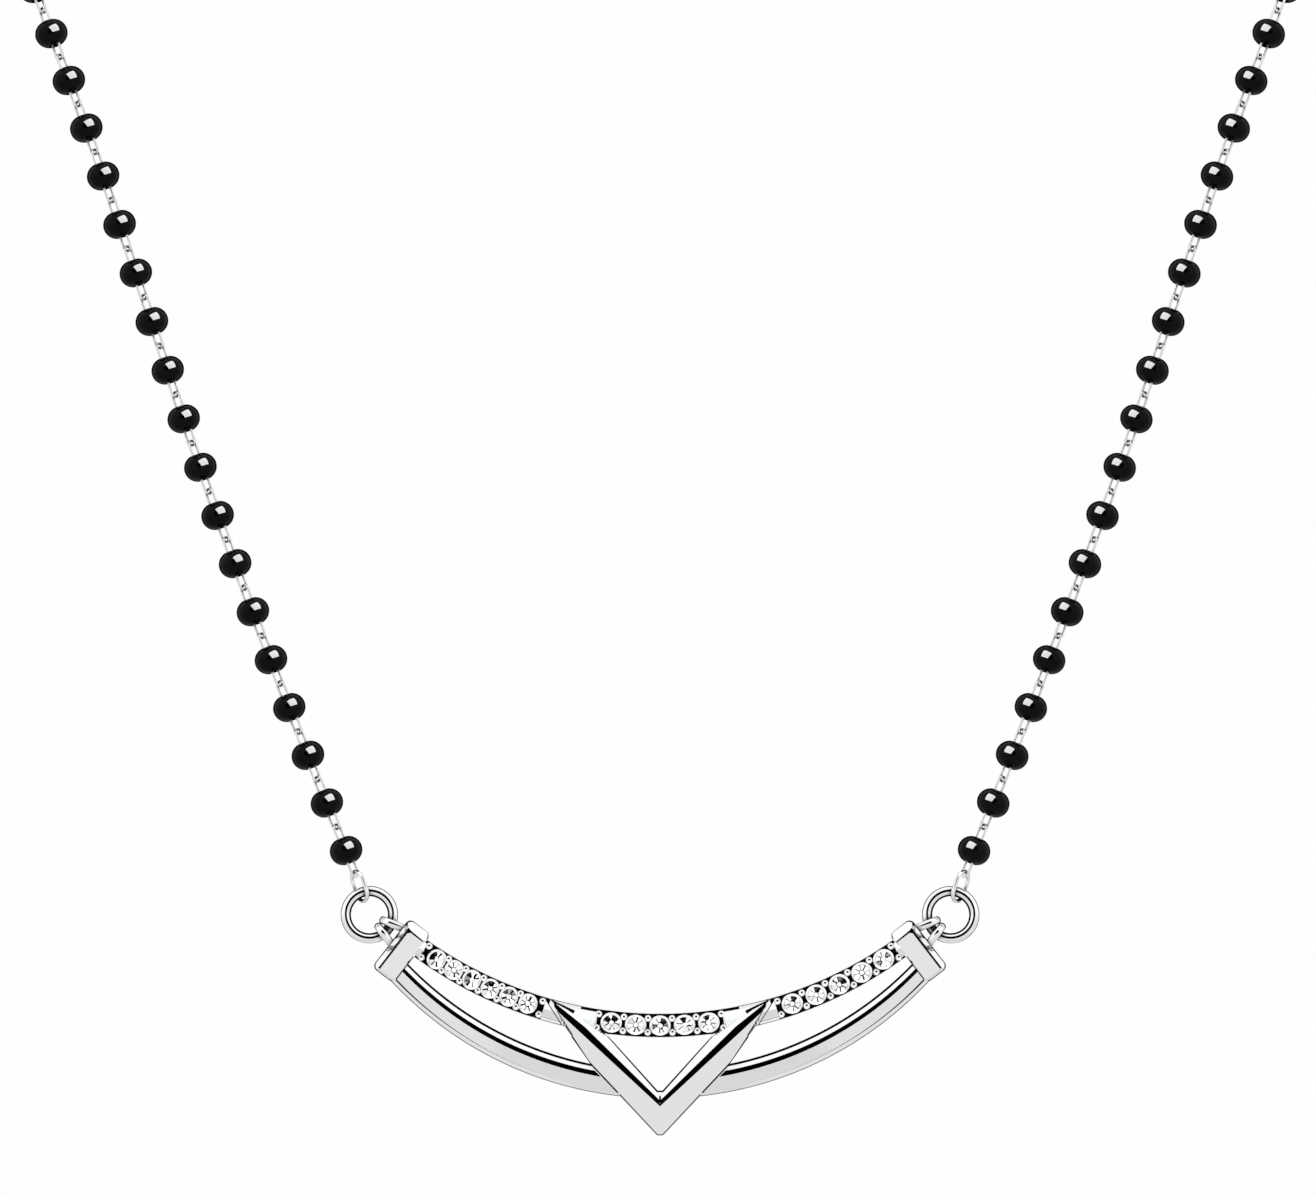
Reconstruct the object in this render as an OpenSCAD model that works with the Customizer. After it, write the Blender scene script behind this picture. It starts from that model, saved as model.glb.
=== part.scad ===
// Mangalsutra: a black-bead necklace whose two strings meet at a V-shaped pendant with set stones.
// Millimetres. X runs to the right as the wearer's front is seen, Y to the back, Z up.
// The origin is the middle of the neck, level with the nape.

/* [Bead strings] */
// Width of a bead across its drill hole
bead_w = 2.28; // [1.8:0.02:3]
// Height of a bead along its drill hole
bead_h = 1.87; // [1.4:0.01:2.2]
// Diameter of a bead's drill hole
bead_bore = 1.02; // [0.98:0.02:1.2]
// Distance from one bead to the next
bead_pitch = 3.5; // [3:0.02:4.4]

/* [Chain links] */
// Thickness of the links' wire
chain_wire = 0.18; // [0.14:0.01:0.2]
// Width of a link, from the middle of one leg to the middle of the other
chain_link_w = 0.64; // [0.6:0.01:0.68]
// Clear play where two links hold each other
chain_play = 0.13; // [0.12:0.01:0.2]

/* [Rings and end links] */
// Diameter of a jump ring, from wire middle to wire middle
ring_d = 3.21; // [2.8:0.01:4.2]
// Thickness of a jump ring's wire
ring_wire = 0.72; // [0.5:0.01:0.8]
// Gap between a jump ring and its end cap
ring_gap = 0.34; // [0.2:0.01:0.8]
// How far a jump ring sits above the middle of its end cap
ring_rise = 0.62; // [0:0.01:1]
// Length of an end link, from wire middle to wire middle
end_link_len = 2.1; // [1.9:0.01:3]
// Width of an end link, from wire middle to wire middle
end_link_w = 1.44; // [1.4:0.01:1.7]
// Thickness of an end link's wire
end_link_wire = 0.26; // [0.2:0.01:0.28]
// Clear play between an end link and its jump ring
ring_play = 0.12; // [0.1:0.01:0.2]
// Lean of an end link away from upright
end_link_lean = 18; // [10:1:26]
// Turn of an end link about its own length
end_link_turn = 31; // [20:1:34]
// Place on the jump ring where the end link hangs, in degrees from the level
end_link_at = 70; // [60:1:84]

/* [Upper bar and stones] */
// Radius of the curve that the stones lie on
stone_line_r = 27.9; // [26:0.1:30]
// Width of the upper bar in its middle
upper_mid_w = 1.66; // [1.6:0.01:1.9]
// Width of the upper bar at the end caps
upper_end_w = 1.5; // [1.45:0.01:1.8]
// Thickness of the upper bar, front to back
upper_t = 1.5; // [1.3:0.05:2]
// Diameter of a stone
stone_d = 1.28; // [1.1:0.01:1.3]
// Clear gap between a stone and its seat
stone_gap = 0.04; // [0.03:0.01:0.06]
// How deep a stone's girdle lies under the bar's face
stone_sink = 0.1; // [0.05:0.01:0.2]
// Number of stones in the stretch on the left
stones_left = 6; // [4:1:6]
// Number of stones in the middle stretch
stones_middle = 5; // [3:1:5]
// Number of stones in the stretch on the right
stones_right = 5; // [4:1:6]
// Diameter of the small beads of metal that hold the stones
prong_d = 0.36; // [0.3:0.01:0.38]
// Distance of those beads from the line of stones
prong_off = 0.52; // [0.5:0.01:0.56]

/* [Lower bars] */
// Radius of the lower bars' curve
lower_r = 24.4; // [23.5:0.1:25.5]
// Distance down from the line of stones to the lower bars, at the middle
lower_drop = 4.03; // [3.8:0.01:4.3]
// Width of the lower bars where they reach the chevron
lower_mid_w = 1.89; // [1.6:0.01:2.1]
// Width of the lower bars at the end caps
lower_end_w = 1.68; // [1.4:0.01:1.9]
// Height of the lower bars' edges in front of the pendant's middle plane
lower_edge = 0.3; // [0.1:0.05:0.5]
// Slope of the wide lower face
lower_out_slope = 22; // [15:1:30]
// Slope of the narrow upper face
lower_in_slope = 50; // [40:1:55]

/* [Chevron] */
// Half of the chevron's width, tip to middle
chevron_half_w = 7.48; // [7.2:0.01:7.8]
// Height of the chevron's tips over the line of stones
chevron_tip_up = 1.8; // [1.7:0.01:1.9]
// Depth of the chevron's outer point under the line of stones
chevron_drop = 7.68; // [7.2:0.01:8.4]
// Depth of the chevron's inner corner under the line of stones
chevron_inner_drop = 4.61; // [4.3:0.01:4.9]
// Depth of the ridge's corner under the line of stones
chevron_ridge_drop = 5.49; // [5.3:0.01:5.7]
// Width of the blunt end of the outer point
chevron_blunt = 0.4; // [0.1:0.05:0.6]
// Height of the chevron's outer edge in front of the pendant's middle plane
chevron_edge = 0.75; // [0.6:0.05:0.9]
// Height of the chevron's inner edge in front of the middle plane
chevron_inner_edge = 0.85; // [0.7:0.05:1]
// Height of the chevron's ridge in front of the middle plane
chevron_ridge = 1.5; // [1.35:0.05:1.8]

/* [End caps and bails] */
// Width of an end cap along the bars
cap_w = 1.85; // [1.5:0.01:2.2]
// Thickness of an end cap in front of the middle plane
cap_front = 1.3; // [1.15:0.05:1.6]
// Thickness of an end cap behind the middle plane
cap_back = 1.0; // [0.95:0.05:1.2]
// How far an end cap reaches past the upper bar
cap_over_top = 0.43; // [0.2:0.01:0.7]
// How far an end cap reaches past the lower bar
cap_over_bottom = 0.16; // [0.1:0.01:0.5]
// Rounding of an end cap's corners
cap_round = 0.35; // [0.2:0.05:0.5]
// Bevel of an end cap's front edges
cap_bevel = 0.38; // [0.2:0.02:0.5]
// Angle of an end cap from the pendant's middle
cap_angle = 37.6; // [37:0.1:38.5]
// Thickness of a bail's wire
bail_wire = 0.4; // [0.3:0.01:0.44]
// Clear play between a bail's loops and the jump ring
bail_play = 0.1; // [0.08:0.01:0.14]
// Angle between the two loops of a bail, seen from the ring's middle
bail_spread = 31; // [28:1:36]

/* [Clasp] */
// Length of the clasp's barrel
clasp_barrel_len = 5.2; // [4:0.1:6]
// Diameter of the clasp's barrel
clasp_barrel_d = 2.4; // [1.8:0.1:3]
// Rounding of the barrel's ends
clasp_round = 0.5; // [0.2:0.05:0.8]

/* [Hidden] */
$fn = 48;

// Where the pendant's middle plane hangs, and the height of its line of stones at the middle
pendant_y = -45;
pendant_z = -104;

// Chosen points of the right string between the pendant's end link and the clasp
ROUTE = [[24.6, -44, -84], [28.4, -43, -74], [32, -42, -64], [35.3, -41, -54],
         [38.7, -39.9, -44], [42.4, -37.6, -34], [46.8, -31, -22], [50.6, -18.5, -10], [52.4, -2, -2],
         [50, 16, 0], [39.5, 34.6, 0], [21.5, 48, 0]];
// Chosen distance of the nape stretch from the neck's middle
NAPE_Y = 52.5;
// Number of straight steps that stand for the curve from one chosen point to the next
ROUTE_STEPS = 8;

// Small overlap that makes soldered pieces one
solder = 0.3;
// Spare length of every cutting body
over = 1;

silver = "#d9dbdd";
black = "#0a0a0c";
clear = "#eef4f8";

function unit(v) = v / norm(v);
function cross_turn(v) = [-v.y, v.x];
// Difference of the radii of two circles whose crescent is mid wide at the middle and end wide at an angle
function crescent_dr(mid, end, angle) = (end - mid * cos(angle)) / (1 - cos(angle));
// Distance from a point up on the middle line, along a ray at an angle from straight down, to a circle
// whose middle lies down below that point
function ray_to_circle(angle, down, r) = down * cos(angle) + sqrt(r * r - pow(down * sin(angle), 2));

// The upper bar lies between two circles, and so do the lower bars
upper_dr = crescent_dr(upper_mid_w, upper_end_w, cap_angle);
upper_top_r = stone_line_r - upper_dr / 2;
upper_top_y = upper_top_r + upper_mid_w / 2;
upper_low_r = stone_line_r + upper_dr / 2;
upper_low_y = upper_low_r - upper_mid_w / 2;
lower_reach = asin(stone_line_r * sin(cap_angle) / lower_r);
lower_dr = crescent_dr(lower_mid_w, lower_end_w, lower_reach);
lower_in_r = lower_r - lower_dr / 2;
lower_in_y = lower_in_r + lower_mid_w / 2 - lower_drop;
lower_out_r = lower_r + lower_dr / 2;
lower_out_y = lower_out_r - lower_mid_w / 2 - lower_drop;

// End cap: how far its two ends lie from the middle of the stone curve
cap_near = stone_line_r - upper_end_w / 2 - cap_over_top;
cap_far = ray_to_circle(cap_angle, stone_line_r - lower_out_y, lower_out_r) + cap_over_bottom;
cap_len = cap_far - cap_near;
cap_mid = (cap_far + cap_near) / 2;
cap_out = [cos(cap_angle), sin(cap_angle)];
cap_at = [cap_mid * sin(cap_angle), stone_line_r - cap_mid * cos(cap_angle)];
ring_reach = cap_w / 2 + ring_gap + (ring_d + ring_wire) / 2;
ring_at = cap_at + ring_reach * cap_out + ring_rise * cross_turn(cap_out);

// Chevron: corners of the right-hand arm's outline, as shares of its half width and of its heights
chevron_outer_knee = [0.617 * chevron_half_w, -0.363 * chevron_drop];
chevron_outer_bend = [0.864 * chevron_half_w, -0.02 * chevron_drop];
chevron_inner_knee = [0.464 * chevron_half_w, -0.17 * chevron_inner_drop];
chevron_inner_bend = [0.773 * chevron_half_w, 0.567 * chevron_tip_up];
chevron_back = upper_t / 2;
// The faces' edges run from the middle out past the tip, to this distance and to these heights over the
// line of stones
chevron_far_x = 1.1 * chevron_half_w;
chevron_far_ridge = chevron_tip_up + 0.22;
chevron_far_shoulder = chevron_tip_up + 1.15;
chevron_far_outer = chevron_tip_up - 2.9;
chevron_far_inner = chevron_tip_up + 2.6;
// The narrow shoulder behind the ridge: its width at the middle and its fall
chevron_shoulder_w = 0.36;
chevron_shoulder_fall = 0.16;
// Where a lower bar ends inside the chevron's arm
lower_end_x = 0.9 * chevron_outer_knee.x * (chevron_drop - lower_drop - lower_mid_w / 2)
    / (chevron_drop + chevron_outer_knee.y);

// Stones: angles of the first and last stone of each stretch, from the pendant's middle
wing_from = 18.8;
wing_to = 33;
middle_to = 6.83;
// Angle from the last stone of a stretch to the holding beads past it
prong_end_step = 1.9;
function spread(count, from, to) = [for (i = [0 : count - 1]) from + (to - from) * i / (count - 1)];
left_angles = spread(stones_left, -wing_to, -wing_from);
middle_angles = spread(stones_middle, -middle_to, middle_to);
right_angles = spread(stones_right, wing_from, wing_to);
// Angles between the stones of a stretch, and one past each end
function prong_angles(a) = concat([a[0] - prong_end_step],
    [for (i = [1 : len(a) - 1]) (a[i - 1] + a[i]) / 2], [a[len(a) - 1] + prong_end_step]);

// Shares of a stone's diameter: table, crown height, girdle and pavilion depth
table_share = 0.56;
crown_share = 0.15;
girdle_share = 0.025;
pavilion_share = 0.43;
// Corners of the star facets: shares of the girdle's radius and of the crown's height
star_out = 0.8;
star_up = 0.6;
// Lower corners of the pavilion's main facets: shares of the girdle's radius and of the culet's depth
half_out = 0.24;
half_down = 0.77;
// A seat's hole at the back, and the depth where it is reached: shares of the stone's radius and pavilion
seat_hole = 0.3;
seat_down = 0.7;

// End link on the right, in the pendant's plane
end_link_dir = [sin(end_link_lean), cos(end_link_lean)];
end_link_low = ring_at + (ring_d / 2 - ring_wire / 2 - ring_play - end_link_wire / 2)
    * [cos(end_link_at), sin(end_link_at)];
end_link_high = end_link_low + end_link_len * end_link_dir;
// Distance between the tips of two wires that hold each other
hold_chain = chain_wire + chain_play;
hold_end = (chain_wire + end_link_wire) / 2 + chain_play;

// Clasp: the eyes stand out of the barrel's ends, and the last chain link's tip lies inside the eye
eye_r = 0.36;
eye_reach = 0.9;
clasp_reach = clasp_barrel_len / 2 + eye_reach;
route_start = in_space(concat(end_link_high - hold_end * end_link_dir, [0]));
route_end = [clasp_reach - hold_end, NAPE_Y, 0];

// A point of the pendant's plane, with its height in front of it, as a point in space
function in_space(p) = [p.x, pendant_y - p.z, pendant_z + p.y];
function curve(a, b, c, d, t) = 0.5 * (2 * b + (c - a) * t + (2 * a - 5 * b + 4 * c - d) * t * t
    + (3 * b - a - 3 * c + d) * t * t * t);
knots = concat([2 * route_start - ROUTE[0], route_start], ROUTE,
    [route_end, [-ROUTE[len(ROUTE) - 1].x, ROUTE[len(ROUTE) - 1].y, ROUTE[len(ROUTE) - 1].z]]);
track = concat([for (k = [1 : len(knots) - 3], i = [0 : ROUTE_STEPS - 1])
    curve(knots[k - 1], knots[k], knots[k + 1], knots[k + 2], i / ROUTE_STEPS)], [route_end]);
run = [for (i = 0, s = 0; i < len(track); s = s + norm(track[min(i + 1, len(track) - 1)] - track[i]),
    i = i + 1) s];
track_x = [for (i = [0 : len(track) - 1]) [run[i], track[i].x]];
track_y = [for (i = [0 : len(track) - 1]) [run[i], track[i].y]];
track_z = [for (i = [0 : len(track) - 1]) [run[i], track[i].z]];
function place(s) = [lookup(s, track_x), lookup(s, track_y), lookup(s, track_z)];

// Each link reaches from tip to tip over its neighbours' tips, so the whole run takes a round number
run_len = run[len(run) - 1];
bead_count = round((run_len - hold_chain) / bead_pitch);
pitch = (run_len - hold_chain) / bead_count;
// Half a link from tip to tip, to a whole micron
link_half = round(500 * (pitch + hold_chain)) / 1000;
spots = [for (k = [0 : bead_count - 1]) place(link_half + k * pitch)];
ways = [for (k = [0 : bead_count - 1])
    unit(place(2 * link_half + k * pitch) - place(max(0, k * pitch)))];
// The side of each link, carried on from the one before without a twist
function carry(side, k) = k == bead_count ? [] :
    let (s = unit(side - (side * ways[k]) * ways[k])) concat([s], carry(s, k + 1));
sides = carry(unit([-1, 1, 0]), 0);
// Every second link is turned a quarter round
function link_side(k) = k % 2 == 0 ? sides[k] : cross(ways[k], sides[k]);

// Puts what stands on Z at a point, along a way, with its X to a side
module stand(at, way, side) {
    other = cross(way, side);
    multmatrix([[side.x, other.x, way.x, at.x], [side.y, other.y, way.y, at.y],
                [side.z, other.z, way.z, at.z], [0, 0, 0, 1]])
        children();
}

// Hangs what is drawn face up, with its front to +Z, in the pendant's plane
module hang() {
    translate([0, pendant_y, pendant_z]) rotate([90, 0, 0]) children();
}

// Half of a wire ring, on the +Z side of the XZ plane
module half_ring(mid_r, wire) {
    rotate([90, 0, 0]) rotate_extrude(angle = 180) translate([mid_r, 0]) circle(d = wire, $fn = 24);
}

// Long link that stands on Z, with its two legs apart in X
module oval_link(half_len, w, wire) {
    leg = half_len - w / 2;
    for (s = [-1, 1])
        translate([s * w / 2, 0, -leg]) cylinder(h = 2 * leg, d = wire, $fn = 24);
    translate([0, 0, leg]) half_ring(w / 2, wire);
    translate([0, 0, -leg]) mirror([0, 0, 1]) half_ring(w / 2, wire);
}

// Drilled bead that stands on Z, round about its hole, with a side of twelve flats to the full circle
module bead() {
    core = bead_w / 2 - bead_h / 2;
    rotate_extrude() difference() {
        union() {
            translate([core, 0]) circle(d = bead_h, $fn = 12);
            translate([0, -bead_h / 2]) square([core, bead_h]);
        }
        translate([-bead_w, -bead_h]) square([bead_w + bead_bore / 2, 2 * bead_h]);
    }
}

// A string on the left (s = -1) has the places of the right-hand one (s = 1), turned over in X
function flip(v, s) = [s * v.x, v.y, v.z];

module string_of_beads(s) {
    color(black) for (k = [0 : bead_count - 1])
        stand(flip(spots[k], s), flip(ways[k], s), flip(link_side(k), s)) bead();
}

module chain(s) {
    color(silver) for (k = [0 : bead_count - 1])
        stand(flip(spots[k], s), flip(ways[k], s), flip(link_side(k), s))
            oval_link(link_half, chain_link_w, chain_wire);
}

// Part of the pendant's plane between two angles from its middle, seen from the middle of the stone curve
module sector(from, to) {
    reach = 3 * stone_line_r;
    translate([0, stone_line_r]) polygon([[0, 0],
        reach * [sin(from), -cos(from)], reach * [sin(to), -cos(to)]]);
}

// Round-cut stone, table up, with its girdle on the XY plane
module stone() {
    n = 8;
    r = stone_d / 2;
    table_r = r * table_share;
    crown = stone_d * crown_share;
    edge = stone_d * girdle_share;
    culet_z = -edge - stone_d * pavilion_share;
    table = [for (i = [0 : n - 1]) [table_r * cos(i * 45), table_r * sin(i * 45), crown]];
    stars = [for (i = [0 : n - 1]) [star_out * r * cos(i * 45 + 22.5), star_out * r * sin(i * 45 + 22.5),
        star_up * crown]];
    top = [for (i = [0 : 2 * n - 1]) [r * cos(i * 22.5), r * sin(i * 22.5), 0]];
    bottom = [for (p = top) [p.x, p.y, -edge]];
    halves = [for (i = [0 : n - 1]) [half_out * r * cos(i * 45 + 22.5), half_out * r * sin(i * 45 + 22.5),
        half_down * culet_z]];
    points = concat(table, stars, top, bottom, halves, [[0, 0, culet_z]]);
    s0 = n;
    t0 = 2 * n;
    b0 = 4 * n;
    h0 = 6 * n;
    tip = 7 * n;
    faces = concat([[for (i = [n - 1 : -1 : 0]) i]],
        [for (i = [0 : n - 1]) [i, (i + 1) % n, s0 + i]],
        [for (i = [0 : n - 1]) [i, t0 + 2 * i, s0 + (i + n - 1) % n]],
        [for (i = [0 : n - 1]) [i, s0 + i, t0 + 2 * i]],
        [for (i = [0 : n - 1]) [s0 + i, t0 + 2 * i + 1, t0 + 2 * i]],
        [for (i = [0 : n - 1]) [s0 + i, t0 + (2 * i + 2) % (2 * n), t0 + 2 * i + 1]],
        [for (i = [0 : 2 * n - 1]) [t0 + i, b0 + (i + 1) % (2 * n), b0 + i]],
        [for (i = [0 : 2 * n - 1]) [t0 + i, t0 + (i + 1) % (2 * n), b0 + (i + 1) % (2 * n)]],
        [for (i = [0 : n - 1]) [b0 + 2 * i, b0 + 2 * i + 1, h0 + i]],
        [for (i = [0 : n - 1]) [b0 + 2 * i + 1, b0 + (2 * i + 2) % (2 * n), h0 + i]],
        [for (i = [0 : n - 1]) [b0 + 2 * i, h0 + i, h0 + (i + n - 1) % n]],
        [for (i = [0 : n - 1]) [h0 + (i + n - 1) % n, h0 + i, tip]]);
    polyhedron(points, faces);
}

// Puts what is drawn upright at a place on the stone line, at the height of the girdles
module at_seat(angle, height = upper_t / 2 - stone_sink) {
    translate([0, stone_line_r, height]) rotate([0, 0, angle]) translate([0, -stone_line_r, 0]) children();
}

module set_stone(angle) {
    color(clear) hang() at_seat(angle) stone();
}

// Hole that a stone sits in: straight at its girdle, narrowing round its point, open at the back
module seat() {
    r = stone_d / 2 + stone_gap;
    floor_r = seat_hole * stone_d / 2;
    depth = stone_d * (girdle_share + seat_down * pavilion_share);
    rotate_extrude($fn = 32) polygon([[0, -upper_t], [floor_r, -upper_t], [floor_r, -depth - 2 * stone_gap],
        [r, -stone_d * girdle_share - 2 * stone_gap], [r, over], [0, over]]);
}

module upper_bar() {
    difference() {
        translate([0, 0, -upper_t / 2]) linear_extrude(upper_t) intersection() {
            difference() {
                translate([0, upper_low_y]) circle(r = upper_low_r, $fn = 120);
                translate([0, upper_top_y]) circle(r = upper_top_r, $fn = 120);
            }
            sector(-cap_angle, cap_angle);
        }
        for (a = concat(left_angles, middle_angles, right_angles)) at_seat(a) seat();
    }
    for (stretch = [left_angles, middle_angles, right_angles], a = prong_angles(stretch), s = [-1, 1])
        at_seat(a, upper_t / 2) translate([0, s * prong_off, 0]) sphere(d = prong_d, $fn = 24);
}

// Ridged bar between two circles, drawn over the whole curve
module lower_curve() {
    // Height over the edges that both faces are drawn to, past the ridge where they meet
    rise = 1.2;
    difference() {
        translate([0, lower_out_y, 0]) rotate_extrude($fn = 120) polygon([[0, -upper_t / 2],
            [lower_out_r, -upper_t / 2], [lower_out_r, lower_edge],
            [lower_out_r - rise / tan(lower_out_slope), lower_edge + rise], [0, lower_edge + rise]]);
        translate([0, lower_in_y, 0]) rotate_extrude($fn = 120) polygon([[0, -upper_t],
            [lower_in_r, -upper_t], [lower_in_r, lower_edge],
            [lower_in_r + 2 * rise / tan(lower_in_slope), lower_edge + 2 * rise],
            [0, lower_edge + 2 * rise]]);
    }
}

module lower_bars() {
    for (s = [0, 1]) mirror([s, 0, 0]) intersection() {
        lower_curve();
        translate([0, 0, -upper_t]) linear_extrude(4 * upper_t) intersection() {
            sector(0, cap_angle);
            translate([lower_end_x, -stone_line_r]) square([stone_line_r, 3 * stone_line_r]);
        }
    }
}

// One arm's faces: a wide outer face, a narrow shoulder and a steep inner face, past the outline on all sides
module chevron_faces() {
    shoulder = chevron_ridge - chevron_shoulder_fall;
    middle = [[0, -chevron_drop, -chevron_back], [0, -chevron_drop, chevron_edge],
        [0, -chevron_ridge_drop, chevron_ridge], [0, chevron_shoulder_w - chevron_ridge_drop, shoulder],
        [0, -chevron_inner_drop, chevron_inner_edge], [0, -chevron_inner_drop, -chevron_back]];
    far = [[chevron_far_x, chevron_far_outer, -chevron_back], [chevron_far_x, chevron_far_outer, chevron_edge],
        [chevron_far_x, chevron_far_ridge, chevron_ridge], [chevron_far_x, chevron_far_shoulder, shoulder],
        [chevron_far_x, chevron_far_inner, chevron_inner_edge], [chevron_far_x, chevron_far_inner, -chevron_back]];
    n = len(middle);
    polyhedron(concat(middle, far), concat([[for (i = [n - 1 : -1 : 0]) i]],
        [[for (i = [0 : n - 1]) n + i]],
        [for (i = [0 : n - 1]) [i, (i + 1) % n, n + (i + 1) % n, n + i]]));
}

module chevron() {
    for (s = [0, 1]) mirror([s, 0, 0]) intersection() {
        chevron_faces();
        translate([0, 0, -over - chevron_back]) linear_extrude(chevron_ridge + chevron_back + 2 * over)
            polygon([[0, -chevron_drop + chevron_blunt / 2], [chevron_blunt / 2, -chevron_drop + chevron_blunt / 2],
                chevron_outer_knee, chevron_outer_bend, [chevron_half_w, chevron_tip_up],
                chevron_inner_bend, chevron_inner_knee, [0, -chevron_inner_drop]]);
    }
}

// Rounded oblong, centred
module oblong(w, l, r) {
    for (x = [-1, 1], y = [-1, 1]) translate([x * (w / 2 - r), y * (l / 2 - r)]) circle(r = r, $fn = 24);
}

module end_cap() {
    hull() {
        translate([0, 0, -cap_back]) linear_extrude(cap_back + cap_front - cap_bevel)
            oblong(cap_w, cap_len, cap_round);
        translate([0, 0, -cap_back]) linear_extrude(cap_back + cap_front)
            oblong(cap_w - 2 * cap_bevel, cap_len - 2 * cap_bevel, cap_round / 2);
    }
}

// Two loops that hold the jump ring, drawn round the ring's middle with the cap on the -X side
module bail() {
    loop_r = (ring_wire + bail_wire) / 2 + bail_play;
    leg = ring_reach - cap_w / 2 + 2 * solder - ring_d / 2;
    for (a = [-1, 1]) rotate([0, 0, a * bail_spread / 2]) translate([-ring_d / 2, 0, 0]) {
        rotate([0, 90, 0]) half_ring(loop_r, bail_wire);
        for (s = [-1, 1]) translate([0, 0, s * loop_r]) rotate([0, -90, 0]) cylinder(h = leg, d = bail_wire, $fn = 24);
    }
}

module pendant_frame() {
    color(silver) hang() {
        upper_bar();
        lower_bars();
        chevron();
        for (s = [0, 1]) mirror([s, 0, 0]) {
            translate([cap_at.x, cap_at.y, 0]) rotate([0, 0, cap_angle]) end_cap();
            translate([ring_at.x, ring_at.y, 0]) rotate([0, 0, cap_angle]) bail();
        }
    }
}

module ring(s) {
    color(silver) hang() translate([s * ring_at.x, ring_at.y, 0])
        rotate_extrude() translate([ring_d / 2, 0]) circle(d = ring_wire, $fn = 32);
}

module end_link(s) {
    middle = concat((end_link_low + end_link_high) / 2, [0]);
    way = concat(end_link_dir, [0]);
    across = [end_link_dir.y, -end_link_dir.x, 0];
    side = cos(end_link_turn) * [0, 0, 1] - sin(end_link_turn) * across;
    color(silver) hang() stand(flip(middle, s), flip(way, s), flip(side, s))
        oval_link(end_link_len / 2, end_link_w, end_link_wire);
}

module clasp() {
    color(silver) {
        translate([0, NAPE_Y, 0]) rotate([0, 90, 0]) rotate_extrude() {
            half = clasp_barrel_len / 2;
            r = clasp_barrel_d / 2;
            translate([0, -half]) square([r - clasp_round, 2 * half]);
            translate([0, clasp_round - half]) square([r, 2 * half - 2 * clasp_round]);
            for (s = [-1, 1]) translate([r - clasp_round, s * (half - clasp_round)]) circle(r = clasp_round, $fn = 32);
        }
        for (s = [0, 1]) mirror([s, 0, 0]) clasp_eye();
    }
}

// Wire eye on the barrel's end, across the last chain link
module clasp_eye() {
    last = bead_count - 1;
    away = [1, 0, 0];
    link = link_side(last);
    side = unit(cross(away, link));
    stand([clasp_reach - eye_r, NAPE_Y, 0], away, side) {
        half_ring(eye_r, end_link_wire);
        for (s = [-1, 1]) translate([s * eye_r, 0, 0]) mirror([0, 0, 1])
            cylinder(h = clasp_reach - eye_r - clasp_barrel_len / 2 + solder, d = end_link_wire, $fn = 24);
    }
}

pendant_frame();
for (i = [1 : stones_left]) set_stone(left_angles[i - 1]);
for (i = [1 : stones_middle])
    set_stone(middle_angles[i - 1]);
for (i = [1 : stones_right]) set_stone(right_angles[i - 1]);
ring(-1);  // ring_left
ring(1);  // ring_right
end_link(-1);  // end_link_left
end_link(1);  // end_link_right
string_of_beads(-1);  // beads_left
string_of_beads(1);  // beads_right
chain(-1);  // chain_left
chain(1);  // chain_right
clasp();
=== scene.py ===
# %% [markdown]
# # A black-bead necklace with a silver pendant
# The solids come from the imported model: they hold every size and place. Blender gives each of them the
# surface that a jeweller would: crisp facets, cups and grains round the stones, drilled glass beads, drawn
# wire. A piece of the pendant is drawn face up, with one Blender unit for a millimetre, and is then hung in
# its place, because bench sizes such as 1.85 are easier to read and to cut with than 0.00185.

# %% Load the fixed frame
import math

import bpy
import numpy as np
from mathutils import Matrix, Quaternion, Vector


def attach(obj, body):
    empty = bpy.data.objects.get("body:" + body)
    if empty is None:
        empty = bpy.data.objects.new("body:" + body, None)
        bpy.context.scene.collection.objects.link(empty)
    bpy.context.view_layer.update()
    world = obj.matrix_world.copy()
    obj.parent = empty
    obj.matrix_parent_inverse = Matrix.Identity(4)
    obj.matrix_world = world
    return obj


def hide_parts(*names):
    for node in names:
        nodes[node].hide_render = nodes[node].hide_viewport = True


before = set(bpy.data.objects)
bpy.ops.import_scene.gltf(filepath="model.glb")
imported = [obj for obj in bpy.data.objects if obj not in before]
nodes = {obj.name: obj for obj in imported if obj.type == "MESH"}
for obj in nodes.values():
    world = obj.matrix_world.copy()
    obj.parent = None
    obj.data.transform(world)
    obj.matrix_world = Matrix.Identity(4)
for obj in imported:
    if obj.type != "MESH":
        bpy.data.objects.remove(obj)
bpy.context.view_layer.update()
bpy.ops.object.select_all(action="DESELECT")

# %% [markdown]
# ## Helpers for the bench
# An operator works on whatever is selected, so each helper first selects just what it is given.

# %% Selecting, cleaning and cutting
MM = 0.001
# In millimetres: corners this near are one, this near a plane they lie on it, and slivers below this go
SAME, ON_PLANE, SLIVER = 1e-5, 1e-4, 2e-4


def only(*pieces):
    bpy.ops.object.select_all(action="DESELECT")
    for piece in pieces:
        piece.select_set(True)
    bpy.context.view_layer.objects.active = pieces[0]


def edit(piece):
    only(piece)
    bpy.ops.object.mode_set(mode="EDIT")
    bpy.ops.mesh.select_mode(type="VERT")
    bpy.ops.mesh.select_all(action="SELECT")


def leave():
    bpy.ops.object.mode_set(mode="OBJECT")


def tidy(piece):
    edit(piece)
    bpy.ops.mesh.remove_doubles(threshold=SAME)
    bpy.ops.mesh.fill_holes(sides=0)
    bpy.ops.mesh.normals_make_consistent(inside=False)
    leave()


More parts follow.
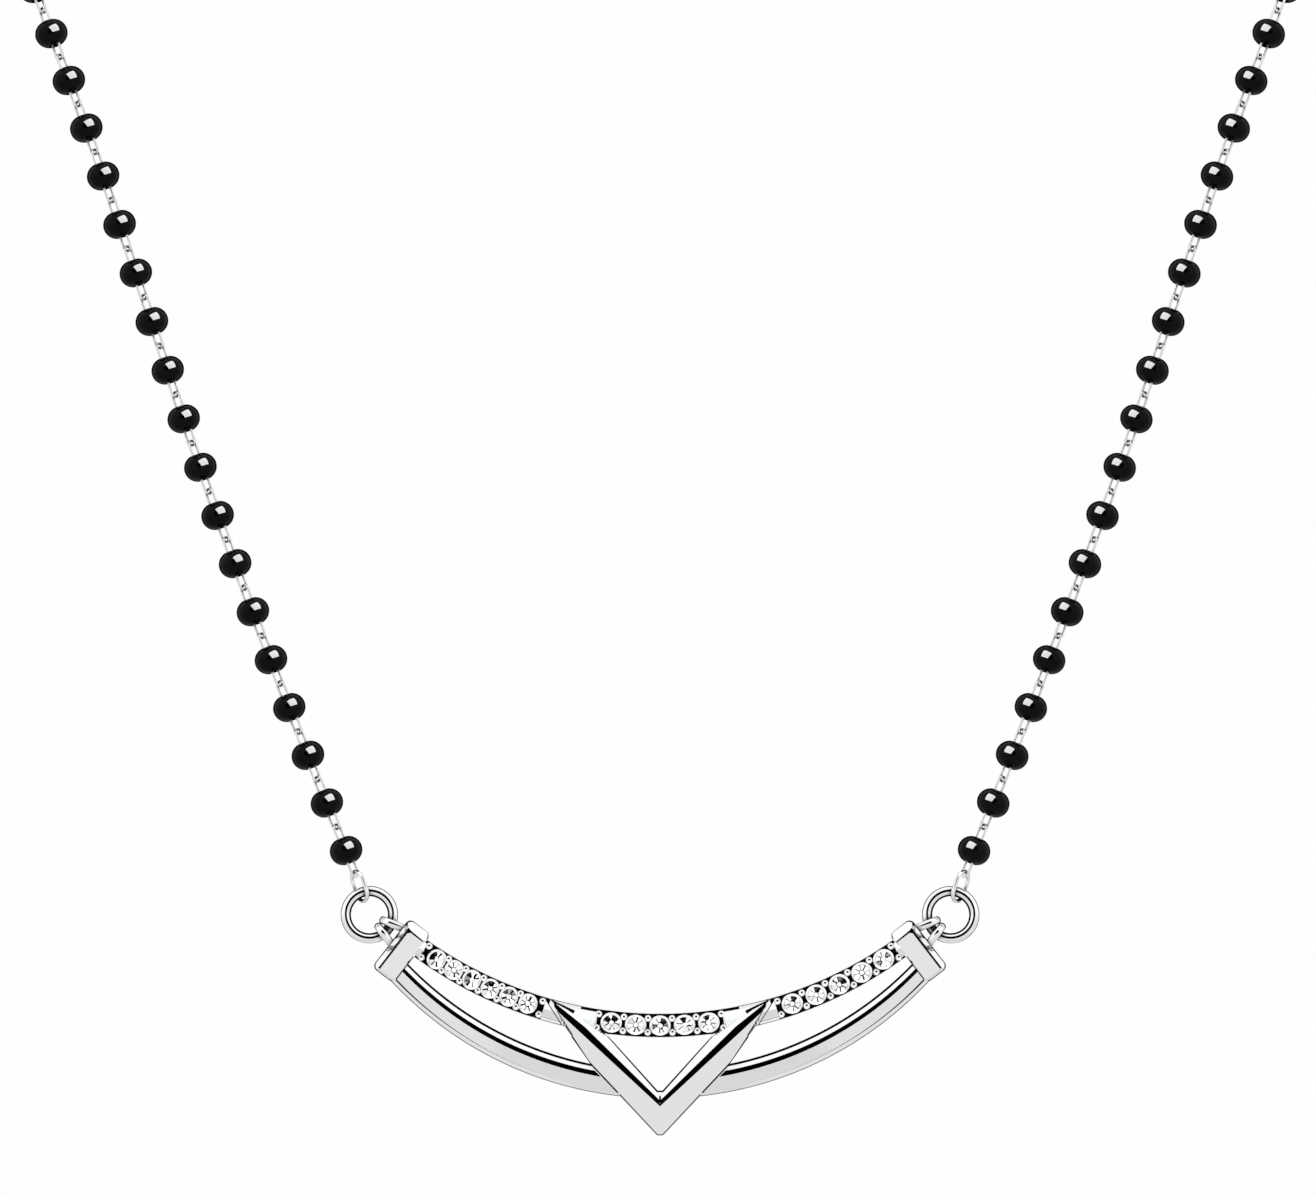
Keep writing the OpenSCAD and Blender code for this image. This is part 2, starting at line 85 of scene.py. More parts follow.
def cut(piece, point, normal):
    """Slice off what lies on the normal's side of a plane, and close the wound."""
    edit(piece)
    bpy.ops.mesh.bisect(plane_co=point, plane_no=Vector(normal).normalized(), use_fill=True, clear_outer=True,
                        threshold=ON_PLANE)
    bpy.ops.mesh.select_all(action="SELECT")
    bpy.ops.mesh.remove_doubles(threshold=SLIVER)
    leave()


def right_half(piece):
    """Keep the half on +X and leave it open in the middle, where the other half will grow on it."""
    edit(piece)
    bpy.ops.mesh.bisect(plane_co=(0, 0, 0), plane_no=(-1, 0, 0), clear_outer=True, threshold=ON_PLANE)
    leave()


def smooth(piece, angle):
    only(piece)
    bpy.ops.object.shade_smooth_by_angle(angle=math.radians(angle))


# %% [markdown]
# A flat is given by its normal. Three helpers write it: from the tilt away from straight ahead and the side
# that it leans to, from how steeply the face rises, or from a line that it holds and its tilt.

# %% Tilts
def leaning(flat, tilt):
    """Normal of a face that leans by tilt degrees from straight ahead, towards a direction in the plane."""
    flat = Vector((flat[0], flat[1], 0)).normalized()
    return flat * math.sin(math.radians(tilt)) + Vector((0, 0, 1)) * math.cos(math.radians(tilt))


def sloping(sx, sy):
    """Normal of a face that rises by sx for each unit to the right and by sy for each unit up."""
    return Vector((-sx, -sy, 1)).normalized()


def face_along(a, b, tilt):
    """Normal of a face that holds the line from a to b and leans by tilt degrees to the line's left."""
    line = (b - a).normalized()
    left = Vector((-line.y, line.x, 0)).normalized()
    up = line.cross(left)
    return (left * math.sin(math.radians(tilt)) + up * math.cos(math.radians(tilt))).normalized()


# %% [markdown]
# `hang` turns a finished piece upright and shrinks it into the pendant's plane, and then applies that, so
# that the object itself stays at the origin, unturned and unscaled. What repeats is modelled once and copied.

# %% Placing, copying and joining
PENDANT = Vector((0, -0.045, -0.104))


def apply_place(piece):
    only(piece)
    bpy.ops.object.transform_apply(location=True, rotation=True, scale=True)


def hang(piece):
    piece.matrix_world = (Matrix.Translation(PENDANT) @ Matrix.Rotation(math.pi / 2, 4, "X")
                          @ Matrix.Scale(MM, 4) @ piece.matrix_world)
    apply_place(piece)


def copy_of(piece, name):
    twin = piece.copy()
    twin.data = piece.data.copy()
    twin.name = name
    bpy.context.collection.objects.link(twin)
    return twin


def mirrored(piece, name):
    """The piece for the other side. A negative scale turns the faces inside out, so they are redone."""
    twin = copy_of(piece, name)
    twin.scale.x = -1
    apply_place(twin)
    edit(twin)
    bpy.ops.mesh.normals_make_consistent(inside=False)
    leave()
    return twin


def joined(name, pieces):
    only(*pieces)
    if len(pieces) > 1:
        bpy.ops.object.join()
    pieces[0].name = name
    return pieces[0]


def repeated(name, model, places):
    """Copies of a model, each with its own mesh, laid in their places and joined to one piece."""
    copies = []
    for place in places:
        copies.append(copy_of(model, model.name + "_copy"))
        copies[-1].matrix_world = place
    bpy.data.objects.remove(model)
    piece = joined(name, copies)
    apply_place(piece)
    return piece


# %% [markdown]
# A piece starts as a cuboid that is cut, or as a section that is swept round an axis by Spin.

# %% Starting a piece
def cuboid(name, middle, size):
    bpy.ops.mesh.primitive_cube_add(size=1, location=middle, scale=size)
    piece = bpy.context.object
    piece.name = name
    apply_place(piece)
    return piece


def outline(name, points):
    """A circle primitive whose corners are dragged to the corners of a section."""
    bpy.ops.mesh.primitive_circle_add(vertices=len(points), fill_type="NOTHING")
    piece = bpy.context.object
    piece.name = name
    for corner, point in zip(piece.data.vertices, points):
        corner.co = point
    return piece


def spun(name, section, middle, start, stop, steps):
    """Sweep a section of (radius, height) round an upright axis, from one angle to another, counted from
    straight down and towards +X. The spin operator counts the other way, so its angle is negative."""
    away = Vector((math.sin(start), -math.cos(start), 0))
    centre = Vector((middle[0], middle[1], 0))
    piece = outline(name, [centre + r * away + Vector((0, 0, h)) for r, h in section])
    edit(piece)
    bpy.ops.mesh.spin(steps=steps, angle=start - stop, center=centre, axis=(0, 0, 1))
    leave()
    tidy(piece)
    return piece


# %% [markdown]
# The bars are narrower at their ends than in the middle, which no Spin can give. So after it each corner
# slides: its distance and angle are read, and it is put back at another distance.

# %% Sliding corners
def polar(place, middle):
    """Distance from a middle, and the angle round it from straight down and towards +X."""
    across = Vector((place.x - middle[0], place.y - middle[1]))
    return across.length, math.atan2(across.x, -across.y)


def at_polar(r, angle, middle, height):
    return middle[0] + r * math.sin(angle), middle[1] - r * math.cos(angle), height


def narrowing(angle, in_middle, far_out):
    """A bar's width at an angle: it starts from one width and nears another as the bar turns."""
    return in_middle * math.cos(angle) + far_out * (1 - math.cos(angle))


# %% [markdown]
# A finished piece gets its surface and is handed over to the frame: what carries it, and the imported solids
# that it stands for, which are then hidden.

# %% Handing a piece over
def report(piece):
    size = 1000 * np.ptp(np.array([v.co for v in piece.data.vertices]), axis=0)
    print(piece.name, len(piece.data.polygons), "faces, size in mm:", np.round(size, 2))


def done(piece, finish, slot, *replaced):
    """Give a finished piece its surface, what carries it and the solids it stands for. slot is not used."""
    piece.data.materials.append(finish)
    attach(piece, "root")
    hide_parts(*replaced)
    report(piece)


def solder(piece, finish):
    """Hang a piece of the pendant's soldered frame in its place and hand it over."""
    hang(piece)
    done(piece, finish, "white_metal", "pendant_frame")


# %% [markdown]
# ## Finishes
# Colours are given as the sRGB hex values of a colour picker, and one function turns them to the linear
# numbers that the shader counts with. A second small function adds one node with its settings and links.

# %% Colour and node helpers
def linear(hex_colour):
    parts = [int(hex_colour[i:i + 2], 16) / 255 for i in (1, 3, 5)]
    return [c / 12.92 if c <= 0.04045 else ((c + 0.055) / 1.055) ** 2.4 for c in parts] + [1]


def add_node(tree, kind, values=None, links=None, **settings):
    new = tree.nodes.new(kind)
    for key, value in settings.items():
        setattr(new, key, value)
    for key, value in (values or {}).items():
        new.inputs[key].default_value = value
    for key, socket in (links or {}).items():
        tree.links.new(socket, new.inputs[key])
    return new


def new_finish(name):
    finish = bpy.data.materials.new(name)
    finish.use_nodes = True
    tree = finish.node_tree
    shader = next(n for n in tree.nodes if n.type == "BSDF_PRINCIPLED")
    place = add_node(tree, "ShaderNodeTexCoord").outputs["Object"]
    return finish, tree, shader, place


# Nearly all values of a noise lie in this span
NOISE_SPAN = {"From Min": 0.3, "From Max": 0.7}

# %% [markdown]
# ### Rhodium-plated silver, polished
# The pendant, rings and clasp are silver with a thin bright coat of rhodium, buffed on a soft wheel. The eye
# gets almost a mirror: white where it meets the light tent, with hard dark lines where it meets the dark.
# Buffing leaves faint hairlines, drawn 0.05 mm apart because the real ones are too fine to show, and soft
# swells of about 1 mm, so roughness wanders a little and a very low bump keeps the mirror from looking
# computed.

# %% Silver
silver, tree, shader, place = new_finish("polished_rhodium_silver")
shader.inputs["Base Color"].default_value = linear("#f7f8f9")
shader.inputs["Metallic"].default_value = 1
swell = add_node(tree, "ShaderNodeTexNoise", {"Scale": 1 / (1.0 * MM), "Detail": 3}, {"Vector": place})
haze = add_node(tree, "ShaderNodeMapRange", {**NOISE_SPAN, "To Min": 0.035, "To Max": 0.085},
                {"Value": swell.outputs["Fac"]})
tree.links.new(haze.outputs["Result"], shader.inputs["Roughness"])
stretch = add_node(tree, "ShaderNodeMapping", {"Scale": (1, 1, 0.12)}, {"Vector": place})
hairs = add_node(tree, "ShaderNodeTexNoise", {"Scale": 1 / (0.05 * MM), "Detail": 2},
                 {"Vector": stretch.outputs["Vector"]})
bump = add_node(tree, "ShaderNodeBump", {"Strength": 0.05, "Distance": 0.004 * MM},
                {"Height": hairs.outputs["Fac"]})
tree.links.new(bump.outputs["Normal"], shader.inputs["Normal"])
print("silver:", len(tree.nodes), "nodes")

# %% [markdown]
# ### Silver with painted shade in its hollows
# Where a bail holds a ring and a ring holds a link, the metal's base colour is darkened towards black between
# the bright wires, as painted shade. The Ambient Occlusion node measures how open each place is, and the
# base colour darkens where little of the view is open.

# %% Painted shade
# Colour of the painted shade in the hollows
PAINTED_SHADE = linear("#101113")


def with_painted_shade(finish, reach, deep, open_to, alone=False):
    """Painted shade: the base colour is black where less than a deep share of the view is open, and clean
    from the share open_to on. What stands within reach millimetres counts: all pieces, or the piece alone."""
    tree = finish.node_tree
    shader = next(n for n in tree.nodes if n.type == "BSDF_PRINCIPLED")
    hollow = add_node(tree, "ShaderNodeAmbientOcclusion", {"Distance": reach * MM}, only_local=alone,
                      samples=8)
    shade_share = add_node(tree, "ShaderNodeMapRange", {"From Min": deep, "From Max": open_to},
                    {"Value": hollow.outputs["AO"]})
    clean = tuple(shader.inputs["Base Color"].default_value)
    # The painted shade is mixed into the base colour where the hollow is deep
    tone = add_node(tree, "ShaderNodeMix", {"A": PAINTED_SHADE, "B": clean}, {"Factor": shade_share.outputs["Result"]},
                    data_type="RGBA")
    tree.links.new(tone.outputs["Result"], shader.inputs["Base Color"])


# Silver whose base colour is darkened as painted shade in its hollows, for the bails, rings and end links
shade_painted_silver = silver.copy()
shade_painted_silver.name = "silver_with_painted_shade_in_hollows"
with_painted_shade(shade_painted_silver, reach=0.6, deep=0.55, open_to=0.9)
print("held silver:", len(shade_painted_silver.node_tree.nodes), "nodes")

# %% [markdown]
# ### Drawn silver wire
# The chain's links are wire pulled through a steel plate, which leaves fine lines along it, and they are too
# thin to buff. So this is the same metal with a satin haze, and with painted shade inside each link.

# %% Wire
wire, tree, shader, place = new_finish("drawn_silver_wire")
shader.inputs["Base Color"].default_value = linear("#f6f7f8")
shader.inputs["Metallic"].default_value = 1
lines = add_node(tree, "ShaderNodeTexNoise", {"Scale": 1 / (0.08 * MM), "Detail": 3}, {"Vector": place})
haze = add_node(tree, "ShaderNodeMapRange", {**NOISE_SPAN, "To Min": 0.4, "To Max": 0.5},
                {"Value": lines.outputs["Fac"]})
tree.links.new(haze.outputs["Result"], shader.inputs["Roughness"])
bump = add_node(tree, "ShaderNodeBump", {"Strength": 0.08, "Distance": 0.004 * MM},
                {"Height": lines.outputs["Fac"]})
tree.links.new(bump.outputs["Normal"], shader.inputs["Normal"])
# Painted shade: the base colour darkens towards black where the link's own wire closes in round it
with_painted_shade(wire, reach=0.3, deep=0.62, open_to=0.93, alone=True)
print("wire:", len(tree.nodes), "nodes")

# %% [markdown]
# ### Black pressed glass
# The beads are opaque black glass, pressed and fire-polished. Fire polish melts the skin, so it is smooth as
# a drop of water, with a very slow orange-peel swell about 0.6 mm wide that makes each highlight's edge soft
# and a little uneven. The specular level is lowered until the glass is as deep a black as the real one.

# %% Glass
glass, tree, shader, place = new_finish("fire_polished_black_glass")
shader.inputs["Base Color"].default_value = linear("#030304")
shader.inputs["Specular IOR Level"].default_value = 0.08
shader.inputs["IOR"].default_value = 1.52
peel = add_node(tree, "ShaderNodeTexNoise", {"Scale": 1 / (0.6 * MM), "Detail": 2}, {"Vector": place})
haze = add_node(tree, "ShaderNodeMapRange", {**NOISE_SPAN, "To Min": 0.04, "To Max": 0.09},
                {"Value": peel.outputs["Fac"]})
tree.links.new(haze.outputs["Result"], shader.inputs["Roughness"])
bump = add_node(tree, "ShaderNodeBump", {"Strength": 0.1, "Distance": 0.02 * MM},
                {"Height": peel.outputs["Fac"]})
tree.links.new(bump.outputs["Normal"], shader.inputs["Normal"])
print("glass:", len(tree.nodes), "nodes")

# %% [markdown]
# ### Clear cut stone
# Cubic zirconia, cut and lapped flat facet by facet. It bends light far more than glass does, with an IOR of
# about 2.15, and that alone breaks what is behind it into white and black splinters. Its facets stay flat
# shaded. A trace of haze stands for fingerprints and lapping lines.

# %% Stone
stone, tree, shader, place = new_finish("clear_cut_zirconia")
shader.inputs["Base Color"].default_value = linear("#fdfeff")
shader.inputs["Transmission Weight"].default_value = 1
shader.inputs["IOR"].default_value = 2.15
film = add_node(tree, "ShaderNodeTexNoise", {"Scale": 1 / (0.5 * MM), "Detail": 2}, {"Vector": place})
haze = add_node(tree, "ShaderNodeMapRange", {"From Min": 0.4, "From Max": 0.8, "To Min": 0.0, "To Max": 0.03},
                {"Value": film.outputs["Fac"]})
tree.links.new(haze.outputs["Result"], shader.inputs["Roughness"])
print("stone:", len(tree.nodes), "nodes")

# %% [markdown]
# ## The lower bars
# Each lower bar is a curved strip with a ridge along it, milled so that it shows five bands: a thin dark
# edge, a steep bright face, a narrow face that looks straight ahead, a wide grey face, and a thin dark step
# above the rim. A section swept by Spin gives all five at once. The strip also narrows and its bands shift
# from the chevron to the cap, so after the spin each corner slides between two sections, one for each end.
# The pendant's pieces have their backs a hair apart, because two faces in one plane would flicker.

# %% Lower bars
BACK = -0.75
BAR_BACK = BACK + 0.01
BAR_MIDDLE = (0, 20.37)
BAR_R = 24.4
BAR_WIDTHS = (1.89, 1.14)
BAR_FROM, BAR_TO = math.radians(6), math.radians(48)
# Shares of the strip's width from its upper edge, and heights in front of the middle plane
section_at_cap = [(0, BAR_BACK), (0, -0.25), (0.08, 0.57), (0.235, 0.742), (0.385, 0.795), (0.765, 0.515),
                  (0.765, 0.515), (0.96, 0.43), (1, -0.05), (1, BAR_BACK)]
section_at_chevron = [(0, BAR_BACK), (0, -0.25), (0.08, 0.575), (0.21, 0.733), (0.39, 0.803), (0.86, 0.44),
                      (0.86, 0.44), (0.97, 0.355), (1, -0.05), (1, BAR_BACK)]
# The dark step opens late, towards the cap: its corner moves by a share of the width and by a height
STEP, STEP_OUT, STEP_UP, LATE = 6, 0.075, 0.012, 2.5


def spun_at(k):
    """Where corner k of the section is spun: a tenth apart, so that its distance tells which corner it is."""
    return BAR_R - 0.5 + k / 10


lower_bar = spun("lower_bar_right", [(spun_at(k), h) for k, (_, h) in enumerate(section_at_cap)],
                 BAR_MIDDLE, BAR_FROM, BAR_TO, steps=56)
for corner in lower_bar.data.vertices:
    distance, angle = polar(corner.co, BAR_MIDDLE)
    k = round(10 * (distance - spun_at(0)))
    t = max(0, (angle - BAR_FROM) / (BAR_TO - BAR_FROM))
    share, height = [(1 - t) * a + t * b for a, b in zip(section_at_chevron[k], section_at_cap[k])]
    if k == STEP:
        share += STEP_OUT * t ** LATE
        height += STEP_UP * t ** LATE
    r = BAR_R + (share - 0.5) * narrowing(angle, *BAR_WIDTHS)
    corner.co = at_polar(r, angle, BAR_MIDDLE, height)
for bar in (lower_bar, mirrored(lower_bar, "lower_bar_left")):
    smooth(bar, 6)
    solder(bar, silver)

# %% [markdown]
# ## The chevron
# The V in front is cut like a gem: flat faces that meet in straight lines, with nothing rounded. So each arm
# starts as a block, and Bisect slices it along one plane after another: the outline's walls, which lean in by
# a few degrees so that they show as a fine dark line, the wide outer face, the narrow face along the ridge,
# the steep inner face and a small bright facet at the tip. The right arm alone is cut.

# %% The right arm
# Degrees by which each kind of face leans from straight ahead
WALL, OUTER_FACE, RIDGE_FACE, INNER_FACE, TIP_FACET = 80.5, 24.5, 11.5, 32, 50
POINT = (0, -7.48, 0.3)
# Corners of the outline, each with the height from which the wall after it leans in
outer_outline = [(0.2, -7.48, 0.3), (2.9, -4.61, 0.92), (4.562, -2.745, 0.92), (6.438, -0.137, 0.3),
                 (7.32, 1.2, 0.3), (7.48, 1.8, 0.3)]
inner_outline = [(7.48, 1.8, 0.95), (5.84, 0.893, 0.62), (3.471, -0.784, 0.62), (0, -4.61, 0.62)]
ridge = [Vector((0, -5.49, 1.5)), Vector((6.95, 0.95, 1.5))]
shoulder = [Vector((0, -5.1, 1.442)), Vector((5.1, -0.1, 1.401)), Vector((7.0, 1.42, 1.437))]
tip = [Vector((6.87, 0.88, 1.5)), Vector((7.38, 1.66, 1.468))]


def plate(name, corners, back, front):
    """A flat piece between two heights whose edges run from corner to corner, clockwise from the front."""
    piece = cuboid(name, (0, 0, (back + front) / 2), (60, 60, front - back))
    for (x0, y0), (x1, y1) in zip(corners, corners[1:] + corners[:1]):
        cut(piece, (x0, y0, 0), (y0 - y1, x1 - x0, 0))
    return piece


corners = [(x, y) for x, y, _ in (inner_outline[::-1] + outer_outline[-2::-1])] + [POINT[:2]]
chevron = plate("chevron", corners, BACK, 1.6)
for corners in (outer_outline, inner_outline):
    for (x0, y0, low), (x1, y1, _) in zip(corners[:-1], corners[1:]):
        cut(chevron, (x0, y0, low), leaning((y1 - y0, x0 - x1), WALL))
cut(chevron, POINT, leaning((0, -1), WALL))
cut(chevron, ridge[0], face_along(ridge[1], ridge[0], OUTER_FACE))
cut(chevron, ridge[0], face_along(ridge[0], ridge[1], RIDGE_FACE))
for a, b in zip(shoulder[:-1], shoulder[1:]):
    cut(chevron, a, face_along(a, b, INNER_FACE))
cut(chevron, tip[0], face_along(tip[1], tip[0], TIP_FACET))
right_half(chevron)
print("arm:", len(chevron.data.polygons), "faces")

# %% [markdown]
# Two low ledges stand out from the arm by a hair, a skirt along its outer side and a strip at its tip. Their
# fronts look straight ahead, at the dark above the lens, and so they draw a thin black line. A small fill
# blunts the V's inner corner. All are plates, as the arm was. The Mirror modifier then grows the left arm,
# and a thin bar over the joint of the two is the mitre.

# %% Ledges, fill and the other arm
skirt = plate("skirt", [(2.9, -4.61), (2.4, -4.1), (5.6, -0.2), (6.04, -0.757), (4.615, -2.79)],
              BACK + 0.02, 0.92)
tip_strip = plate("tip_strip", [(7.3, 1.717), (7.3, 1.45), (5.93, 0.7), (5.782, 1.02)], BACK + 0.03, 0.95)
corner_fill = plate("corner_fill", [(-0.1, -4.43), (0.29, -4.43), (0, -4.78), (-0.1, -4.66)],
                    BACK + 0.04, 1.5)
cut(corner_fill, (0, -4.43, 0.62), leaning((0, 1), WALL))
cut(corner_fill, (0, -5.1, 1.54), leaning((0, 1), 28))
right_half(corner_fill)
chevron = joined("chevron", [chevron, skirt, tip_strip, corner_fill])
mirror = chevron.modifiers.new("other_arm", "MIRROR")
mirror.merge_threshold = SAME
only(chevron)
bpy.ops.object.modifier_apply(modifier="other_arm")
tidy(chevron)
mitre = cuboid("mitre", (0, -5.03, 1.2), (0.13, 0.46, 0.6))
cut(mitre, (0, -5.12, 1.47), sloping(0, -0.3))
solder(joined("chevron", [chevron, mitre]), silver)

# %% [markdown]
# ## The upper bar
# The stones stand in a shallow channel: a floor with a thin rail along each edge. Its section is spun over
# the whole curve, and the same sliding of corners narrows it towards the caps.

# %% Channel
UPPER_R = 27.9
UPPER_MIDDLE = (0, UPPER_R)
UPPER_WIDTHS = (1.66, 0.89)
CHANNEL_END = math.radians(37.4)
FLOOR = 0.0
rail = [(0.5, BACK + 0.015), (0.5, 0.385), (0.48, 0.412), (0.472, 0.38), (0.47, FLOOR)]
channel_section = rail + [(-s, h) for s, h in reversed(rail)]
channel = spun("stone_channel", [(UPPER_R + s, h) for s, h in channel_section], UPPER_MIDDLE,
               -CHANNEL_END, CHANNEL_END, steps=120)
for corner in channel.data.vertices:
    distance, angle = polar(corner.co, UPPER_MIDDLE)
    r = UPPER_R + (distance - UPPER_R) * narrowing(angle, *UPPER_WIDTHS)
    corner.co = at_polar(r, angle, UPPER_MIDDLE, corner.co.z)
print("channel:", len(channel.data.polygons), "faces")

# %% [markdown]
# Behind each stone the floor is bored through, as a setter does to let light in and dirt out, with a Boolean
# and one drill for each stone. The left stretch holds six stones, the middle and the right one five each.

# %% Places of the stones, and bores
def spread(count, first, last):
    return [first + (last - first) * i / (count - 1) for i in range(count)]


# In degrees along the curve
stretches = [spread(6, -33, -18.8), spread(5, -6.83, 6.83), spread(5, 18.8, 33)]
stone_angles = [a for stretch in stretches for a in stretch]


def on_curve(angle, off=0.0, height=0.0):
    """A place on the line of stones, off it by a distance outwards, at a height."""
    a = math.radians(angle)
    return Matrix.Translation(at_polar(UPPER_R + off, a, UPPER_MIDDLE, height)) @ Matrix.Rotation(a, 4, "Z")


bpy.ops.mesh.primitive_cylinder_add(vertices=24, radius=0.3, depth=2)
drill = repeated("drill", bpy.context.object, [on_curve(angle) for angle in stone_angles])
bore = channel.modifiers.new("bore", "BOOLEAN")
bore.object = drill
bore.operation = "DIFFERENCE"
only(channel)
bpy.ops.object.modifier_apply(modifier="bore")
bpy.data.objects.remove(drill)
smooth(channel, 20)
solder(channel, silver)

# %% [markdown]
# Where a stretch of stones ends, the channel is filled by small roof-shaped blocks. Their two slopes lean
# enough to miss the dark card, so the ends look white, with a thin dark gap left along the rails. Two of
# them are cut along the chevron's arm, one on each side of it.

# %% End blocks
ROOF, PITCH = 0.64, 0.6
ROOTED = FLOOR - 0.1


def block(first, last, low, high):
    """A roof from one angle to another, in degrees, and between two distances off the line of stones."""
    section = [(low, ROOTED), (low, ROOF + PITCH * low), (0, ROOF), (high, ROOF - PITCH * high),
               (high, ROOTED)]
    return spun("block", [(UPPER_R + off, h) for off, h in section], UPPER_MIDDLE, math.radians(first),
                math.radians(last), steps=8)


outer_block, under_arm = block(13.6, 16.5, -0.74, 0.74), block(11.4, 15.9, -0.74, 0.74)
cut(outer_block, (6.66, -0.07, 0), (-1.5, 0.94, 0))
cut(under_arm, (6.53, -0.16, 0), (1.5, -0.94, 0))
blocks = [outer_block, under_arm, block(8.9, 11.4, -0.58, 0.74), block(35.15, 37.0, -0.5, 0.6)]
blocks = blocks + [mirrored(one, "block_twin") for one in blocks]
end_blocks = joined("channel_end_blocks", blocks)
smooth(end_blocks, 20)
solder(end_blocks, silver)

# %% [markdown]
# ## Cups and grains
# Each stone sits in a cup whose broad bright lip is pushed over its edge, and in every gap two small grains
# of metal are pushed over the neighbouring stones. One cup and one grain are turned from their profiles, and
# both are copied along the curve. The cup's wall is upright, so from the front only its lip shows, and the
# black scallops between the cups are the channel's flat floor, which looks at the dark above the lens. In
# the left stretch six cups share the room of five, so they are narrower along the bar.

# %% Cups
CUP_SCALE_OF_SIX, CUP_SCALE = 0.95, 1.06
cup = spun("cup", [(0.65, 0.02), (0.65, 0.66), (0.51, 0.8), (0.535, 0.845), (0.675, 0.76), (0.69, 0.7),
                   (0.69, ROOTED), (0.65, ROOTED)], (0, 0), 0, math.tau, steps=40)
smooth(cup, 30)
places = []
for angle in stone_angles:
    along = CUP_SCALE_OF_SIX if angle in stretches[0] else CUP_SCALE
    places.append(on_curve(angle) @ Matrix.Diagonal((along, 1, 1, 1)))
stone_cups = repeated("stone_cups", cup, places)
solder(stone_cups, silver)

# %% Grains
# Degrees from an outer stone to the grains beside it, and each grain's distance off the line of stones
END_GAP = 1.9
GRAIN_SIDES = (-0.46, 0.48)
grain = spun("grain", [(0.0, 0.87), (0.05, 0.8666), (0.1, 0.856), (0.15, 0.837), (0.19, 0.806), (0.22, 0.765),
                       (0.232, 0.715), (0.222, 0.66), (0.17, 0.6), (0.16, ROOTED), (0, ROOTED)],
             (0, 0), 0, math.tau, steps=18)
smooth(grain, 50)
places = []
for stretch in stretches:
    gaps = [(a + b) / 2 for a, b in zip(stretch, stretch[1:])]
    for angle in [stretch[0] - END_GAP] + gaps + [stretch[-1] + END_GAP]:
        places.extend(on_curve(angle, side) for side in GRAIN_SIDES)
setting_grains = repeated("setting_grains", grain, places)
solder(setting_grains, silver)

# %% [markdown]
# ## The stones
# Stones as small as this are cut with few facets, or their sparkle would be too fine to see. The cutter
# starts with a round blank and grinds one flat at a time, turning the stone by an eighth between them. Bisect
# does the same here: a flat table, a flat culet, eight crown flats and eight pavilion flats. Each of the
# sixteen stones is ground by itself and its pavilion flats lean a little differently, as by hand, so that no
# two stones sparkle alike. The random numbers are seeded, so that each run gives the same stones.

# %% Cut stones
STONE_R = 0.64
GIRDLE = 0.65
TABLE, CULET = 0.155, -0.6
CROWN_TILT, PAVILION_TILT = 60, 50
PAVILION_LOW = -0.03
hand = np.random.default_rng(3)


def ground(piece, turn, low, tilt, side):
    """Grind one flat: turned by a share of a full turn, through the rim at a height, above or below."""
    a = math.tau * turn
    flat = Vector((math.cos(a), math.sin(a), 0))
    lean = leaning(flat, tilt)
    cut(piece, flat * STONE_R + Vector((0, 0, low)), (lean.x, lean.y, side * lean.z))


cuts = []
for angle in stone_angles:
    bpy.ops.mesh.primitive_cylinder_add(vertices=32, radius=STONE_R, depth=1.2, location=(0, 0, -0.2))
    brilliant = bpy.context.object
    apply_place(brilliant)
    cut(brilliant, (0, 0, TABLE), (0, 0, 1))
    cut(brilliant, (0, 0, CULET), (0, 0, -1))
    for k in range(8):
        ground(brilliant, k / 8, 0, CROWN_TILT, 1)
        ground(brilliant, (k + 0.25) / 8, PAVILION_LOW, PAVILION_TILT + hand.uniform(-2.8, 1.6), -1)
    tidy(brilliant)
    brilliant.matrix_world = on_curve(angle, 0, GIRDLE)
    cuts.append(brilliant)
print("first stone:", len(cuts[0].data.polygons), "faces")
cut_stones = joined("cut_stones", cuts)
apply_place(cut_stones)
hang(cut_stones)
done(cut_stones, stone, "cut_stone", *[name for name in nodes if name.startswith("stone_")])

# %% [markdown]
# ## The end caps
# A cap is a flat block with rounded corners. The corners are rounded first with Bevel, and two rings of edges
# are cut round the block. Between the two its wall leans in, which shows as a dark outline from the front.

# %% The cap's block
CAP_AT = (17.585, 5.066)
CAP_TURN = math.radians(37.6)
CAP_W, CAP_L, CAP_FRONT, CAP_BACK = 1.85, 4.2, 1.3, -1.0
CAP_WALL_IN = 0.08
cap = cuboid("cap", (0, 0, (CAP_FRONT + CAP_BACK) / 2), (CAP_W, CAP_L, CAP_FRONT - CAP_BACK))
edit(cap)
bpy.ops.mesh.select_all(action="DESELECT")
bpy.ops.mesh.select_mode(type="EDGE")
leave()
for edge in cap.data.edges:
    a, b = [cap.data.vertices[i].co for i in edge.vertices]
    edge.select = abs(a.z - b.z) > 1
bpy.ops.object.mode_set(mode="EDIT")
bpy.ops.mesh.bevel(offset=0.4, segments=12, affect="EDGES")
for height in (0.28, 0.78):
    bpy.ops.mesh.select_all(action="SELECT")
    bpy.ops.mesh.bisect(plane_co=(0, 0, height), plane_no=(0, 0, 1))
leave()
for corner in cap.data.vertices:
    if corner.co.z > 0.7:
        corner.co.x *= 1 - CAP_WALL_IN / (CAP_W / 2)
        corner.co.y *= 1 - CAP_WALL_IN / (CAP_L / 2)
print("cap's block:", len(cap.data.polygons), "faces")

# %% [markdown]
# The cap's front is filed to flats with Bisect: a broad bright bevel along the outer side and the upper end,
# a hair-thin flat inside it that shows dark, and a panel that leans a little down and inwards, so that it
# shows grey. A narrow ledge on the inner side, beside the bars, draws a dark line there.

